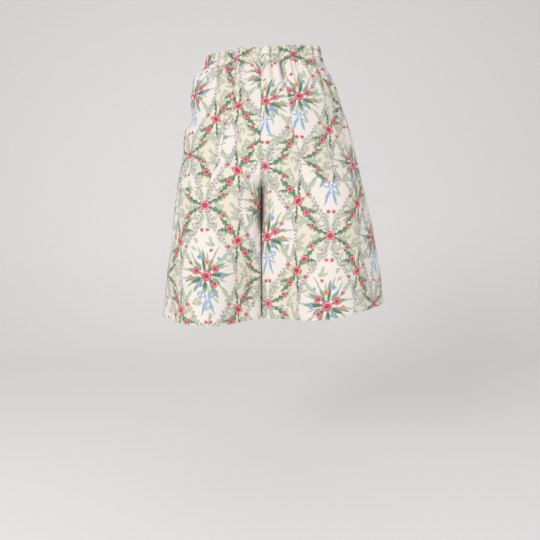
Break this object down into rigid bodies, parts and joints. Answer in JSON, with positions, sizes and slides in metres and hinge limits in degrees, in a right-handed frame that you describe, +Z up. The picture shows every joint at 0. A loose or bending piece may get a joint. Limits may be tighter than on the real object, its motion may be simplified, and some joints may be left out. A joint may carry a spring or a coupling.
{
  "type": "culottes",
  "caption": "Knee-length wide-legged culottes with a gathered elastic waist and large patch pockets at the sides, held in the shape they take when worn.",
  "frame": {"origin": "middle of the waist opening, level with the top of the casing at the side seams", "axes": "+Z up, the front of the garment faces -Y, and +X is the wearer's left"},
  "size_m": [0.5802, 0.3212, 0.7135],
  "materials": {
    "casing_cloth": "matt",
    "panel_cloth": "matt",
    "pocket_cloth": "matt"
  },
  "bodies": {
    "root": {"waistband": "casing_cloth", "front_left": "panel_cloth", "front_right": "panel_cloth", "back_left": "panel_cloth", "back_right": "panel_cloth", "pocket_left": "pocket_cloth", "pocket_right": "pocket_cloth"}
  },
  "joints": []
}
